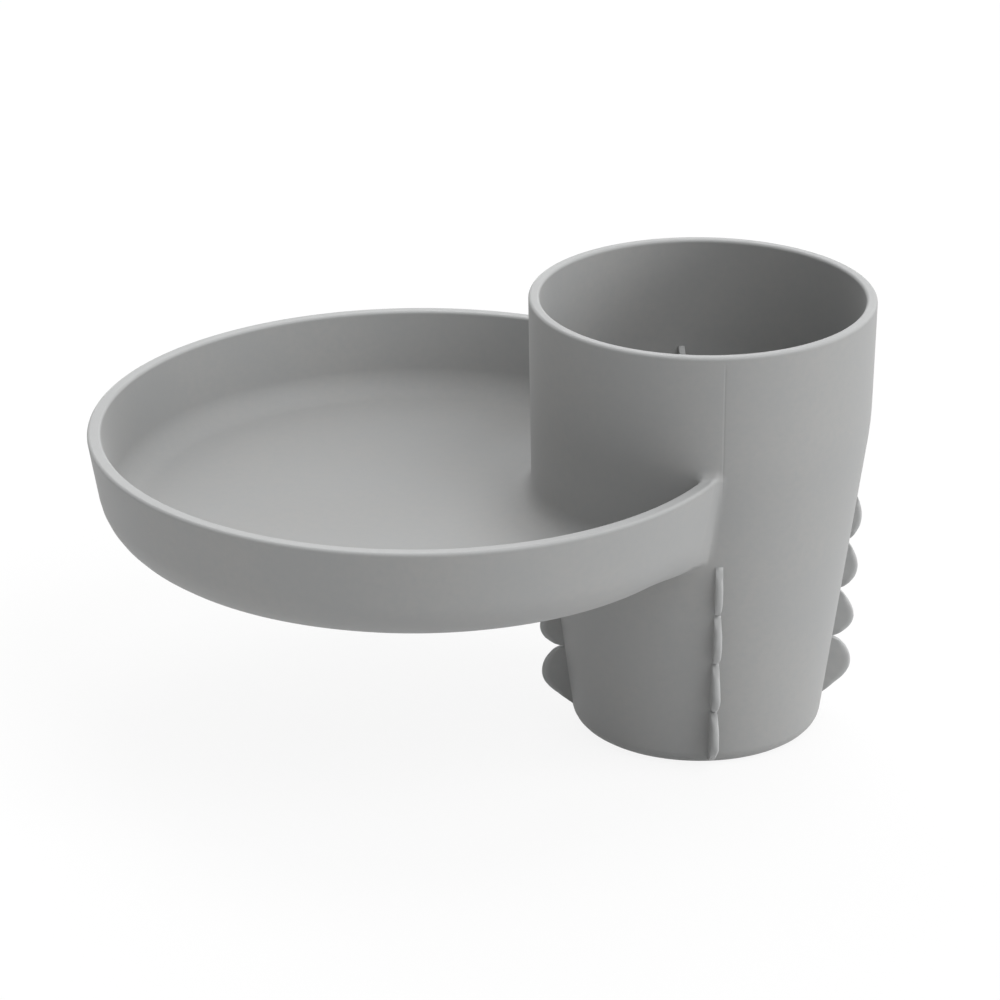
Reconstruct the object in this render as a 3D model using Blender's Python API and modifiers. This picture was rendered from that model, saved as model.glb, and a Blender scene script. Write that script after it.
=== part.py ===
"""Kids' travel tray in moulded silicone: a round food dish on the side of a tapered cup.

The cup drops into a vehicle's cup holder, where four outer columns of soft fins wedge it. Four
inner columns hold a smaller bottle or beaker in the cup. Each column is cut into lobes by notches
that reach the wall, and each lobe folds sideways on its own thin root.

Frame: origin at the centre of the cup's base, +Z up, the dish towards -X, XZ the mirror plane.
Units are metres.
"""

import math
from typing import NamedTuple

import bpy
from mathutils import Vector

# Cup: a tapered beaker whose wall stands steeper above the level of the dish rim
CUP_HEIGHT = 0.1250
CUP_BASE_RADIUS = 0.0341
CUP_KNEE_RADIUS = 0.0465
CUP_RIM_RADIUS = 0.0473
CUP_WALL = 0.0030
CUP_FLOOR = 0.0030
CUP_BASE_ROUND = 0.0050
CUP_WELL_ROUND = 0.0040

# Dish: round, its rim circle meeting the cup at the cup's two sides
DISH_RIM_RADIUS = 0.0898
DISH_RIM_HEIGHT = 0.0905
DISH_CENTRE_OFFSET = 0.0778
DISH_DEPTH = 0.0286
DISH_DRAFT = math.radians(9.6)
DISH_WALL = 0.0038
DISH_FLOOR = 0.0053
DISH_CORNER_RADIUS = 0.0150
DISH_WELL_ROUND = 0.0085

# Collar: inside the dish the wall round the cup stands at the draft of the cup's upper half
COLLAR_DRAFT = math.radians(1.0)
COLLAR_TOP_BELOW_RIM = 0.0032
COLLAR_FILLET = 0.0040

# The dish meets the cup face to face, with this gap
JOIN_GAP = 0.0003

# Both rims end in a flat top with rounded edges
RIM_ROUND = 0.0009

# Fins: upright blades that stand square to the wall, a gap off it and off each other
FIN_THICKNESS = 0.0020
FIN_GAP = 0.0003
LOBES_IN_COLUMN = 4

# Outer fins, from below the dish rim down to a long slant near the base that leads into the holder
GRIP_TOP_BELOW_RIM = 0.0245
GRIP_BOTTOM = 0.0045
GRIP_LEAD_IN = 0.0034
GRIP_TOP_STAND = 0.0034
GRIP_LOW_STAND = 0.0073

# The outer fins at the cup's front and back sit lower and run almost to the base
SIDE_GRIP_TOP_BELOW_RIM = 0.0271
SIDE_GRIP_BOTTOM = 0.0016
SIDE_GRIP_LEAD_IN = 0.0015

# Inner fins, from just above the level of the dish rim down to the narrow part of the well
HOLD_TOP_ABOVE_RIM = 0.0033
HOLD_BOTTOM = 0.0350
HOLD_TOP_STAND = 0.0074
HOLD_LOW_STAND = 0.0035

# A lobe's outline: where its crest lies along its root, and how full its ends are (1 is a
# slanted run up to the crest, less is rounder)
LOBE_CREST = 0.57
LEAD_IN_CREST = 0.43
ROUND_END = 0.6
SLANTED_END = 1.07

# A lobe that the dish covers by more than this share of its length is left off
LARGEST_COVERED_SHARE = 0.8

# Where each column stands: its name and its direction round the cup's axis
COLUMNS = {
    "end": math.radians(0),
    "back": math.radians(90),
    "dish": math.radians(180),
    "front": math.radians(270),
}

# Facets round each turned piece, and points on each rounded corner and outline
CUP_STEPS = 64
DISH_STEPS = 96
CORNER_STEPS = 3
DISH_CORNER_STEPS = 6
LOBE_STEPS = 12
ROOT_STEPS = 6

# Points closer than this are one point
WELD_DISTANCE = 0.00001

# Matte silicone, coloured all through
SILICONE_COLOUR = (0.36, 0.36, 0.36, 1.0)
SILICONE_ROUGHNESS = 0.62


def clear_scene():
    for obj in list(bpy.data.objects):
        bpy.data.objects.remove(obj, do_unlink=True)


def new_collection(name):
    collection = bpy.data.collections.new(name)
    bpy.context.scene.collection.children.link(collection)
    return collection


def silicone(name):
    """Matte silicone for one sub-part."""
    material = bpy.data.materials.new(name + "_silicone")
    material.use_nodes = True
    surface = material.node_tree.nodes["Principled BSDF"]
    surface.inputs["Base Color"].default_value = SILICONE_COLOUR
    surface.inputs["Roughness"].default_value = SILICONE_ROUGHNESS
    surface.inputs["Metallic"].default_value = 0.0
    material.diffuse_color = SILICONE_COLOUR
    return material


def fillet(before, corner, after, radius, steps):
    """Points of the arc that rounds a corner, which takes up half of either side at most."""
    corner = Vector(corner)
    to_before = Vector(before) - corner
    to_after = Vector(after) - corner
    half = to_before.angle(to_after) / 2
    reach = min(radius / math.tan(half), to_before.length / 2, to_after.length / 2)
    radius = reach * math.tan(half)
    inward = (to_before.normalized() + to_after.normalized()).normalized()
    centre = corner + inward * (radius / math.sin(half))
    start = corner + to_before.normalized() * reach - centre
    end = corner + to_after.normalized() * reach - centre
    sweep = start.angle_signed(end)
    points = []
    for step in range(steps + 1):
        angle = math.atan2(start.y, start.x) - sweep * step / steps
        points.append((centre.x + radius * math.cos(angle), centre.y + radius * math.sin(angle)))
    return points


def rounded(corners):
    """An open outline through its corners, each given as (x, y) or as (x, y, radius, steps)."""
    points = []
    for index, corner in enumerate(corners):
        if len(corner) == 2:
            points.append(corner)
            continue
        before = corners[index - 1][:2]
        after = corners[index + 1][:2]
        points += fillet(before, corner[:2], after, corner[2], corner[3])
    return points


def turned(name, profile, steps, collection):
    """A solid of revolution about Z, from a profile of (radius, height) that runs down outside."""
    mesh = bpy.data.meshes.new(name)
    edges = [(index, index + 1) for index in range(len(profile) - 1)]
    mesh.from_pydata([(radius, 0, height) for radius, height in profile], edges, [])
    obj = bpy.data.objects.new(name, mesh)
    collection.objects.link(obj)
    screw = obj.modifiers.new("turn", "SCREW")
    screw.steps = steps
    screw.render_steps = steps
    screw.use_merge_vertices = True
    screw.merge_threshold = WELD_DISTANCE
    screw.use_smooth_shade = True
    return obj


def evaluated_mesh(obj, name):
    """An object's mesh with its modifiers applied."""
    bpy.context.view_layer.update()
    depsgraph = bpy.context.evaluated_depsgraph_get()
    mesh = bpy.data.meshes.new_from_object(obj.evaluated_get(depsgraph))
    mesh.name = name
    return mesh


def plate(name, outline, thickness, collection):
    """A flat outline as a closed mesh in its own XY plane, its thickness centred on that plane."""
    curve = bpy.data.curves.new(name, "CURVE")
    curve.dimensions = "2D"
    curve.fill_mode = "BOTH"
    curve.extrude = thickness / 2
    spline = curve.splines.new("POLY")
    spline.points.add(len(outline) - 1)
    for point, (x, y) in zip(spline.points, outline):
        point.co = (x, y, 0, 1)
    spline.use_cyclic_u = True
    drawn = bpy.data.objects.new(name, curve)
    collection.objects.link(drawn)
    obj = bpy.data.objects.new(name, evaluated_mesh(drawn, name))
    collection.objects.link(obj)
    bpy.data.objects.remove(drawn, do_unlink=True)
    weld = obj.modifiers.new("weld the caps", "WELD")
    weld.merge_threshold = WELD_DISTANCE
    return obj


def as_cutter(obj):
    obj.hide_render = True
    obj.display_type = "WIRE"
    return obj


def wall_radius(height):
    """Outer radius of the cup: two cones that meet at the level of the dish rim."""
    if height <= DISH_RIM_HEIGHT:
        share = height / DISH_RIM_HEIGHT
        return CUP_BASE_RADIUS + (CUP_KNEE_RADIUS - CUP_BASE_RADIUS) * share
    share = (height - DISH_RIM_HEIGHT) / (CUP_HEIGHT - DISH_RIM_HEIGHT)
    return CUP_KNEE_RADIUS + (CUP_RIM_RADIUS - CUP_KNEE_RADIUS) * share


def well_radius(height):
    """Inner radius of the cup."""
    return wall_radius(height) - CUP_WALL


def cup_shell(parts):
    """The cup: floor, wall and rim in one turned piece."""
    profile = rounded([
        (0, CUP_FLOOR),
        (well_radius(CUP_FLOOR), CUP_FLOOR, CUP_WELL_ROUND, CORNER_STEPS),
        (well_radius(DISH_RIM_HEIGHT), DISH_RIM_HEIGHT),
        (well_radius(CUP_HEIGHT), CUP_HEIGHT, RIM_ROUND, CORNER_STEPS),
        (CUP_RIM_RADIUS, CUP_HEIGHT, RIM_ROUND, CORNER_STEPS),
        (CUP_KNEE_RADIUS, DISH_RIM_HEIGHT),
        (CUP_BASE_RADIUS, 0, CUP_BASE_ROUND, CORNER_STEPS),
        (0, 0),
    ])
    shell = turned("cup_shell", profile, CUP_STEPS, parts)
    shell.data.materials.append(silicone("cup_shell"))


def cup_cutter(cutters):
    """The cup's lower cone, wider by the joint's gap, run past the dish above and below."""
    slope = (CUP_KNEE_RADIUS - CUP_BASE_RADIUS) / DISH_RIM_HEIGHT
    low = DISH_RIM_HEIGHT - 2 * DISH_DEPTH
    high = DISH_RIM_HEIGHT + DISH_DEPTH
    low_radius = CUP_KNEE_RADIUS + JOIN_GAP + slope * (low - DISH_RIM_HEIGHT)
    high_radius = CUP_KNEE_RADIUS + JOIN_GAP + slope * (high - DISH_RIM_HEIGHT)
    profile = [(0, high), (high_radius, high), (low_radius, low), (0, low)]
    return as_cutter(turned("cup_cutter", profile, CUP_STEPS, cutters))


def collar_radius(height):
    """Outer radius of the wall round the cup inside the dish: one cone that ends in the cup's rim."""
    return CUP_RIM_RADIUS - (CUP_HEIGHT - height) * math.tan(COLLAR_DRAFT)


def dish_inside(cutters):
    """All that the middle of the dish's wall and floor encloses, turned about the dish's axis."""
    floor = DISH_RIM_HEIGHT - DISH_DEPTH + DISH_FLOOR / 2
    rim_radius = DISH_RIM_RADIUS - DISH_WALL / 2
    foot_radius = rim_radius - (DISH_RIM_HEIGHT - floor) * math.tan(DISH_DRAFT)
    profile = rounded([
        (0, DISH_RIM_HEIGHT),
        (rim_radius, DISH_RIM_HEIGHT),
        (foot_radius, floor, (DISH_CORNER_RADIUS + DISH_WELL_ROUND) / 2, DISH_CORNER_STEPS),
        (0, floor),
    ])
    inside = turned("dish_inside", profile, DISH_STEPS, cutters)
    inside.location = (-DISH_CENTRE_OFFSET, 0, 0)
    return as_cutter(inside)


def collar(cutters):
    """The collar round the cup, with a fillet onto the dish's floor.

    It ends in the middle of the dish's wall and floor.
    """
    low = DISH_RIM_HEIGHT - DISH_DEPTH
    floor = low + DISH_FLOOR
    high = DISH_RIM_HEIGHT - COLLAR_TOP_BELOW_RIM
    foot = collar_radius(floor) + 2 * COLLAR_FILLET
    profile = rounded([
        (0, high),
        (collar_radius(high), high),
        (collar_radius(floor), floor, COLLAR_FILLET, DISH_CORNER_STEPS),
        (foot, floor - WELD_DISTANCE),
        (foot, low),
        (0, low),
    ])
    blank = as_cutter(turned("collar", profile, CUP_STEPS, cutters))
    ends = blank.modifiers.new("within the dish", "BOOLEAN")
    ends.operation = "INTERSECT"
    ends.object = dish_inside(cutters)
    return blank


def dish_profile():
    """The dish's section as (radius, height) about its own axis: up the inside and down the outside."""
    underside = DISH_RIM_HEIGHT - DISH_DEPTH
    floor = underside + DISH_FLOOR
    draft = math.tan(DISH_DRAFT)
    inner_rim = DISH_RIM_RADIUS - DISH_WALL
    inner_foot = inner_rim - (DISH_RIM_HEIGHT - floor) * draft
    outer_foot = DISH_RIM_RADIUS - DISH_DEPTH * draft
    return rounded([
        (0, floor),
        (inner_foot, floor, DISH_WELL_ROUND, DISH_CORNER_STEPS),
        (inner_rim, DISH_RIM_HEIGHT, RIM_ROUND, CORNER_STEPS),
        (DISH_RIM_RADIUS, DISH_RIM_HEIGHT, RIM_ROUND, CORNER_STEPS),
        (outer_foot, underside, DISH_CORNER_RADIUS, DISH_CORNER_STEPS),
        (0, underside),
    ])


def dish_height_over(distance):
    """Height of the dish's outer face at a distance from the dish's axis, endless past its rim."""
    profile = dish_profile()
    for (outer, upper), (inner, lower) in zip(profile, profile[1:]):
        if inner <= distance < outer:
            return upper + (lower - upper) * (outer - distance) / (outer - inner)
    return math.inf


def tray_dish(parts, cutters):
    """The dish, turned about its own axis, with its collar, and cut to seat on the cup's wall."""
    dish = turned("tray_dish", dish_profile(), DISH_STEPS, parts)
    dish.location = (-DISH_CENTRE_OFFSET, 0, 0)
    dish.data.materials.append(silicone("tray_dish"))
    join = dish.modifiers.new("collar round the cup", "BOOLEAN")
    join.operation = "UNION"
    join.object = collar(cutters)
    seat = dish.modifiers.new("seat on the cup", "BOOLEAN")
    seat.operation = "DIFFERENCE"
    seat.object = cup_cutter(cutters)


class Reach(NamedTuple):
    """The heights between which a column of lobes runs, and the lowest lobe's extra length."""

    top: float
    bottom: float
    lead_in: float

    def spans(self):
        """Upper and lower height of each lobe, the last one longer by the lead-in."""
        pitch = (self.top - self.bottom - self.lead_in) / LOBES_IN_COLUMN
        spans = [(self.top - row * pitch, self.top - (row + 1) * pitch) for row in range(LOBES_IN_COLUMN)]
        spans[-1] = (spans[-1][0], self.bottom)
        return spans


class FinSet(NamedTuple):
    """One set of fins on one wall of the cup, with the reach of each of its columns."""

    name: str
    inside: bool
    top_stand: float
    low_stand: float
    reach: dict

    def stand(self, row):
        """How far a lobe's crest stands off the wall."""
        return self.top_stand + (self.low_stand - self.top_stand) * row / max(LOBES_IN_COLUMN - 1, 1)

    def leads_in(self, row):
        return not self.inside and row == LOBES_IN_COLUMN - 1


GRIP_REACH = Reach(DISH_RIM_HEIGHT - GRIP_TOP_BELOW_RIM, GRIP_BOTTOM, GRIP_LEAD_IN)
SIDE_GRIP_REACH = Reach(DISH_RIM_HEIGHT - SIDE_GRIP_TOP_BELOW_RIM, SIDE_GRIP_BOTTOM, SIDE_GRIP_LEAD_IN)
HOLD_REACH = Reach(DISH_RIM_HEIGHT + HOLD_TOP_ABOVE_RIM, HOLD_BOTTOM, 0)
GRIP_FINS = FinSet(
    name="grip_fin",
    inside=False,
    top_stand=GRIP_TOP_STAND,
    low_stand=GRIP_LOW_STAND,
    reach={"end": GRIP_REACH, "back": SIDE_GRIP_REACH, "dish": GRIP_REACH, "front": SIDE_GRIP_REACH},
)
CUP_FINS = FinSet(
    name="cup_fin",
    inside=True,
    top_stand=HOLD_TOP_STAND,
    low_stand=HOLD_LOW_STAND,
    reach={"end": HOLD_REACH, "back": HOLD_REACH, "dish": HOLD_REACH, "front": HOLD_REACH},
)


class HingeLine(NamedTuple):
    """Where a lobe folds: a line along the wall, half the blade and the gap off it."""

    radius: float
    height: float
    lean: float
    length: float


def hinge_line(fins, high, low):
    """The hinge of a lobe between two heights, in the upright plane through its column."""
    radius_at = well_radius if fins.inside else wall_radius
    foot = Vector((radius_at(low), low))
    head = Vector((radius_at(high), high))
    along = (head - foot).normalized()
    outward = Vector((along.y, -along.x))
    off_wall = (FIN_THICKNESS / 2 + FIN_GAP) * (-1 if fins.inside else 1)
    middle = (foot + head) / 2 + outward * off_wall
    return HingeLine(middle.x, middle.y, math.atan2(along.x, along.y), (head - foot).length)


def lobe_height(share, crest, lower_end):
    """A lobe's stand at a share of its length from its upper end, as a share of its crest's."""
    angle = math.pi * share ** (math.log(0.5) / math.log(crest))
    fullness = ROUND_END if share < crest else lower_end
    return max(math.sin(angle), 0) ** fullness


def lobe_mesh(name, length, covered, stand, leads_in, cutters):
    """One lobe about its hinge: the axis is Z, the wall lies at -X and the root is a half round.

    The blade's section and its outline are two plates, and the lobe is what they have in common.
    The covered share of its upper end, over which the dish lies, is left off.
    """
    half = FIN_THICKNESS / 2
    past_crest = 2 * stand + half
    crest = LEAD_IN_CREST if leads_in else LOBE_CREST
    lower_end = SLANTED_END if leads_in else ROUND_END

    section = []
    for step in range(ROOT_STEPS + 1):
        angle = math.radians(90) + math.radians(180) * step / ROOT_STEPS
        section.append((half * math.cos(angle), half * math.sin(angle)))
    section += [(past_crest, -half), (past_crest, half)]
    blade = plate(name + "_section", section, 2 * length, cutters)

    outline = [(-past_crest, length * (0.5 - covered))]
    for step in range(LOBE_STEPS + 1):
        share = covered + (1 - covered) * step / LOBE_STEPS
        out = stand * lobe_height(share, crest, lower_end) - half - FIN_GAP
        outline.append((out, length * (0.5 - share)))
    outline.append((-past_crest, -length / 2))
    cutter = as_cutter(plate(name + "_outline", outline, 2 * FIN_THICKNESS, cutters))
    cutter.rotation_euler = (math.radians(90), 0, 0)

    common = blade.modifiers.new("outline", "BOOLEAN")
    common.operation = "INTERSECT"
    common.object = cutter
    mesh = evaluated_mesh(blade, name)
    bpy.data.objects.remove(blade, do_unlink=True)
    bpy.data.objects.remove(cutter, do_unlink=True)
    return mesh


def covered_share(hinge, azimuth, stand, high, low):
    """Share of an outer lobe's length that the dish takes, however the lobe folds below it."""
    along_x = hinge.radius * math.cos(azimuth) + DISH_CENTRE_OFFSET
    along_y = hinge.radius * math.sin(azimuth)
    nearest = max(math.hypot(along_x, along_y) - stand, 0)
    ceiling = dish_height_over(nearest) - FIN_GAP - FIN_THICKNESS / 2 * math.sin(hinge.lean)
    return min(max((high - ceiling) / (high - low), 0), 1)


def column_axis(fins, column, parts):
    """The empty on the cup's axis that turns a column to its place."""
    empty = bpy.data.objects.new(f"{fins.name}_{column}_column", None)
    empty.empty_display_size = CUP_BASE_RADIUS
    empty.rotation_euler = (0, 0, COLUMNS[column])
    parts.objects.link(empty)
    return empty


def fin_columns(fins, parts, cutters):
    """Every lobe of a set of fins, each with its origin on its own hinge and its Z axis along it."""
    material = silicone(fins.name)
    meshes = {}
    for column, reach in fins.reach.items():
        axis = column_axis(fins, column, parts)
        for row, (high, low) in enumerate(reach.spans()):
            name = f"{fins.name}_{column}_{row + 1}"
            hinge = hinge_line(fins, high, low)
            covered = 0
            if not fins.inside:
                covered = covered_share(hinge, COLUMNS[column], fins.stand(row), high, low)
            if covered > LARGEST_COVERED_SHARE:
                continue
            shape = (row, reach, covered)
            if shape not in meshes:
                meshes[shape] = lobe_mesh(name, hinge.length - FIN_GAP, covered, fins.stand(row),
                                          fins.leads_in(row), cutters)
                meshes[shape].materials.append(material)
            lobe = bpy.data.objects.new(name, meshes[shape])
            lobe.parent = axis
            lobe.location = (hinge.radius, 0, hinge.height)
            lobe.rotation_euler = (0, -hinge.lean, math.pi) if fins.inside else (0, hinge.lean, 0)
            parts.objects.link(lobe)


def main():
    clear_scene()
    parts = new_collection("kids_travel_tray")
    cutters = new_collection("cutters")
    cup_shell(parts)
    tray_dish(parts, cutters)
    fin_columns(GRIP_FINS, parts, cutters)
    fin_columns(CUP_FINS, parts, cutters)


main()
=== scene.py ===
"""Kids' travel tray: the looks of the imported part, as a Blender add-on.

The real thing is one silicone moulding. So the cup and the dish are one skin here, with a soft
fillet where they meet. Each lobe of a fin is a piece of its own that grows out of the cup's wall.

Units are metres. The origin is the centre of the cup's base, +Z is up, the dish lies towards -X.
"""

import math
from typing import NamedTuple

import bmesh
import bpy
import numpy as np
from mathutils import Matrix, Vector


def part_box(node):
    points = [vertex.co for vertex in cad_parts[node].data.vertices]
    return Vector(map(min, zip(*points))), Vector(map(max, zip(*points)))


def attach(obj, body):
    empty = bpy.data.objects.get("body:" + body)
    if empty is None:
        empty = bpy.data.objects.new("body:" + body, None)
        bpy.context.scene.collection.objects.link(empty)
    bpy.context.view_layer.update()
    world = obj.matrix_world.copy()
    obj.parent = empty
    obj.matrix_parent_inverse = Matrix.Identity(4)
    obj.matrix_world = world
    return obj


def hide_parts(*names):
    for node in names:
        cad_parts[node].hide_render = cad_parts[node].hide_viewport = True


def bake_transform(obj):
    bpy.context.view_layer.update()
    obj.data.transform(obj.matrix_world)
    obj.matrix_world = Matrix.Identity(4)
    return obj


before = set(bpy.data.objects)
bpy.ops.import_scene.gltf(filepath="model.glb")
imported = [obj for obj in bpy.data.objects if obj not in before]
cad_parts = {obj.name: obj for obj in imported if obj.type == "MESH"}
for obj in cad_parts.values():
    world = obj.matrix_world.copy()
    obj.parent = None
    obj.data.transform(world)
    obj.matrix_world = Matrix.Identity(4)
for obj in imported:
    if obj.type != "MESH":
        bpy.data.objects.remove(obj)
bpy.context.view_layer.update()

bl_info = {
    "name": "Kids travel tray",
    "version": (1, 0, 0),
    "blender": (4, 5, 0),
    "location": "3D view > Sidebar > Travel tray",
    "description": "Builds the skin, the fins and the stage of a silicone travel tray",
    "category": "Object",
}

CUP_LOW, CUP_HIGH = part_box("cup_shell")
DISH_LOW, DISH_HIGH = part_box("tray_dish")

MILLIMETRE = 0.001

# Where each column of fins stands, by its direction round the cup's axis
COLUMNS = {
    "end": math.radians(0),
    "back": math.radians(90),
    "dish": math.radians(180),
    "front": math.radians(270),
}
LOBES_IN_COLUMN = 4

# The mesh attribute that says how far a point gets the painted highlight that lightens rims and crests
PAINTED_HIGHLIGHT = "rubbed"

# Steps round the cup, the dish and what cuts them, and levels of the collar
CUP_STEPS = 192
DISH_STEPS = 320
PLUG_STEPS = 128
COLLAR_LEVELS = 10

# Where the cup's mesh has steps beside the parting line, in half widths of the line, and how far
# it has no others there, in widths of all these steps
LINE_STEPS = (0.45, 0.9, 1.5, 2.4, 6)
CLEARED = 1.5

# The fewest steps that a round of an outline has
ROUND_STEPS = 6

# Where the collar's mesh ends above the dish's rim, and over what height and width the collar
# eases into the cup's wall there
COLLAR_TOP = 8 * MILLIMETRE
COLLAR_EASE_HEIGHT = 12 * MILLIMETRE
COLLAR_EASE_WIDTH = 24 * MILLIMETRE

# Over what height the parting line ends, and how near the cup the dish's corner grows fuller
LINE_END = 10 * MILLIMETRE
FULLER_WITHIN = 16 * MILLIMETRE

# Between which shares of the dish's depth, below its rim, the wide fillet of its floor narrows
WIDE_FILLET_TO = 0.75
NARROW_FILLET_FROM = 0.25

# How far outside the middle of the dish's wall the inner fillets begin, as a share of the wall
INNER_FILLET_FROM = 0.75

# How far from the cup and the dish the mesh is fine, as a share of the fillet's reach, and how
# often an edge may be halved there
FINE_WITHIN = 1.3
HALVINGS = 7

# Steps that bring a point onto the surface, and the least squared slope that they reckon with
SURFACE_STEPS = 6
LEAST_SLOPE = 0.05

# Edges that are dissolved before the fillets are refined, and after, the distance within which
# points are merged, and how often what that leaves open may be patched
CROWDED_EDGE = MILLIMETRE / 20
SLIVER_EDGE = MILLIMETRE / 200
MERGED_WITHIN = MILLIMETRE / 500
PATCHINGS = 6

# How far below a rim's top the painted highlight starts to fade and is gone, as shares of the rim's
# round, and how far up the skin has to face to get the painted highlight, at all and in full
HIGHLIGHT_BELOW = (0.25, 0.75)
HIGHLIGHT_UPWARD = (0.2, 0.7)

# Points along a lobe's outline, how much they crowd towards its ends, points round its section,
# and the section's shares in its round edge and in the painted highlight strips behind that
OUTLINE_POINTS = 49
END_CROWDING = 0.85
SECTION_POINTS = 35
ROUND_SHARE = 0.36
HIGHLIGHT_SHARE = 0.15

# How far from its ends a lobe has its full round and its full thickness, and how far off the
# wall it strays from its plane in full
ROUND_GROWTH = 1.5 * MILLIMETRE
UPPER_TAPER_LENGTH = 4.0 * MILLIMETRE
LOWER_TAPER_LENGTH = 1.4 * MILLIMETRE
FREE_FROM = 3.0 * MILLIMETRE

# Noise scales for trimming marks of about 1 mm and for a stray of about 7 mm, and the range that
# the noise seldom leaves
TRIM_WAVES = 900.0
STRAY_WAVES = 140.0
NOISE_RANGE = (0.3, 0.7)

# What sets the seeds of inner lobes apart
INNER_SEED = 50

# The sizes that each lobe is given
LOBE_SIZES = (
    "Length", "Covered share", "Stand", "Crest", "Upper end", "Lower end", "Thickness", "Wall line",
    "Root line", "Edge round", "Root flare", "Upper taper", "Lower taper", "Wander", "Trim",
)

# What a lobe's two curves pass on to the mesh that is swept from them: the curve, the name by
# which the mesh reads it, and the curve's own value
PASSED_ON = (
    ("outline", "edge out", "place out"),
    ("outline", "edge up", "place up"),
    ("outline", "way out", "back"),
    ("outline", "way up", "tangent out"),
    ("outline", "from top", "down"),
    ("section", "side", "sign"),
    ("section", "quarter", "turned"),
    ("section", "to root", "past round"),
)

# The sums of a lobe: what each gives, what it does, and its values, which are numbers, sizes, what
# is passed on, or sums above it. LINEAR and SMOOTHSTEP map a value from one range onto another
LOBE_SUMS = (
    # How far along the outline a point is, with more points near both ends, and the dome there:
    # a sine whose crest is moved along, fuller or leaner towards either end
    ("turn", "MULTIPLY", "factor", 2 * math.pi),
    ("wave", "SINE", "turn"),
    ("crowded", "MULTIPLY_ADD", "wave", -END_CROWDING / (2 * math.pi), "factor"),
    ("along", "LINEAR", "crowded", 0, 1, "Covered share", 1),
    ("down", "MULTIPLY", "along", "Length"),
    ("power", "LOGARITHM", 0.5, "Crest"),
    ("skewed", "POWER", "along", "power"),
    ("half turn", "MULTIPLY", "skewed", math.pi),
    ("rise", "SINE", "half turn"),
    ("plain dome", "MAXIMUM", "rise", 0),
    ("above crest", "LESS_THAN", "along", "Crest"),
    ("fullness", "LINEAR", "above crest", 0, 1, "Lower end", "Upper end"),
    ("dome", "POWER", "plain dome", "fullness"),
    ("out", "MULTIPLY_ADD", "dome", "Stand", "Wall line"),
    ("level", "SUBTRACT", 0.5, "along"),
    ("up", "MULTIPLY", "level", "Length"),
    ("back", "MULTIPLY", "tangent up", -1),

    # The section goes round the edge in the middle, then down both flats to the root
    ("both", "MULTIPLY_ADD", "factor", 2, -1),
    ("sign", "SIGN", "both"),
    ("from edge", "ABSOLUTE", "both"),
    ("turned", "LINEAR", "from edge", 0, ROUND_SHARE, 0, math.pi / 2),
    ("past round", "LINEAR", "from edge", ROUND_SHARE),

    # The edge's round grows from nothing at each end, so that the flats don't fold over there.
    # Trimming leaves the edge slightly uneven
    ("from bottom", "SUBTRACT", "Length", "from top"),
    ("from end", "MINIMUM", "from top", "from bottom"),
    ("radius", "SMOOTHSTEP", "from end", 0, ROUND_GROWTH, 0, "Edge round"),
    ("cosine", "COSINE", "quarter"),
    ("short", "SUBTRACT", 1, "cosine"),
    ("rounding", "MULTIPLY", "short", "radius"),
    ("uneven", "LINEAR", "trimming", *NOISE_RANGE, 0, "Trim"),
    ("inset", "ADD", "rounding", "uneven"),
    ("inset out", "MULTIPLY", "way out", "inset"),
    ("inset up", "MULTIPLY", "way up", "inset"),
    ("trimmed out", "SUBTRACT", "edge out", "inset out"),
    ("X", "LINEAR", "to root", 0, 1, "trimmed out", "Root line"),
    ("Z", "SUBTRACT", "edge up", "inset up"),

    # Half the thickness: tapered towards either end, rounded at the edge, flared at the root
    ("upper", "SMOOTHSTEP", "from top", 0, UPPER_TAPER_LENGTH, "Upper taper", 0),
    ("lower", "SMOOTHSTEP", "from bottom", 0, LOWER_TAPER_LENGTH, "Lower taper", 0),
    ("kept above", "SUBTRACT", 1, "upper"),
    ("kept", "SUBTRACT", "kept above", "lower"),
    ("full half", "MULTIPLY", "Thickness", 0.5),
    ("tapered half", "MULTIPLY", "full half", "kept"),
    ("sine", "SINE", "quarter"),
    ("missing", "SUBTRACT", 1, "sine"),
    ("lacking", "MULTIPLY", "missing", "radius"),
    ("half", "SUBTRACT", "tapered half", "lacking"),
    ("off wall", "SUBTRACT", "X", "Wall line"),
    ("close", "LINEAR", "off wall", 0, "Root flare", 1, 0),
    ("squared", "POWER", "close", 2),
    ("rest", "SUBTRACT", 1, "squared"),
    ("root", "SQRT", "rest"),
    ("flare", "SUBTRACT", 1, "root"),
    ("flared", "MULTIPLY_ADD", "flare", "Root flare", "half"),
    ("flat", "MULTIPLY", "flared", "side"),

    # The soft blade strays from its plane, more the further out it is. The round edge gets a painted
    # highlight, and the flats just behind it less and less
    ("swing", "LINEAR", "straying", *NOISE_RANGE, -1, 1),
    ("stray", "MULTIPLY", "swing", "Wander"),
    ("free", "LINEAR", "off wall", 0, FREE_FROM),
    ("Y", "MULTIPLY_ADD", "stray", "free", "flat"),
    (PAINTED_HIGHLIGHT, "LINEAR", "to root", 0, HIGHLIGHT_SHARE, 1, 0),
)

# Sizes of the patches and the specks of dust, the range over which they show, and how much
# smoother the silicone is without them, and rougher with them
DUST_PATCH = 30 * MILLIMETRE
DUST_SPECK = 2 * MILLIMETRE
DUST_RANGE = (0.15, 0.38)
SMOOTHER = 0.03
ROUGHER = 0.05

# The camera at the photograph's angle and distance: its place, its tilt, its turn and its lens
CAMERA_PLACE = (-0.1611, -1.2015, 0.5763)
CAMERA_TILT = math.radians(90 - 22.897)
CAMERA_TURN = math.radians(84.96 - 90)
CAMERA_LENS = 171.7
SENSOR_WIDTH = 36

# Half the width of the floor
FLOOR_REACH = 6.0


def length(name, description, default):
    """A size in metres that a user may change."""
    return bpy.props.FloatProperty(
        name=name, description=description, default=default, unit="LENGTH", precision=5
    )


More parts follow.
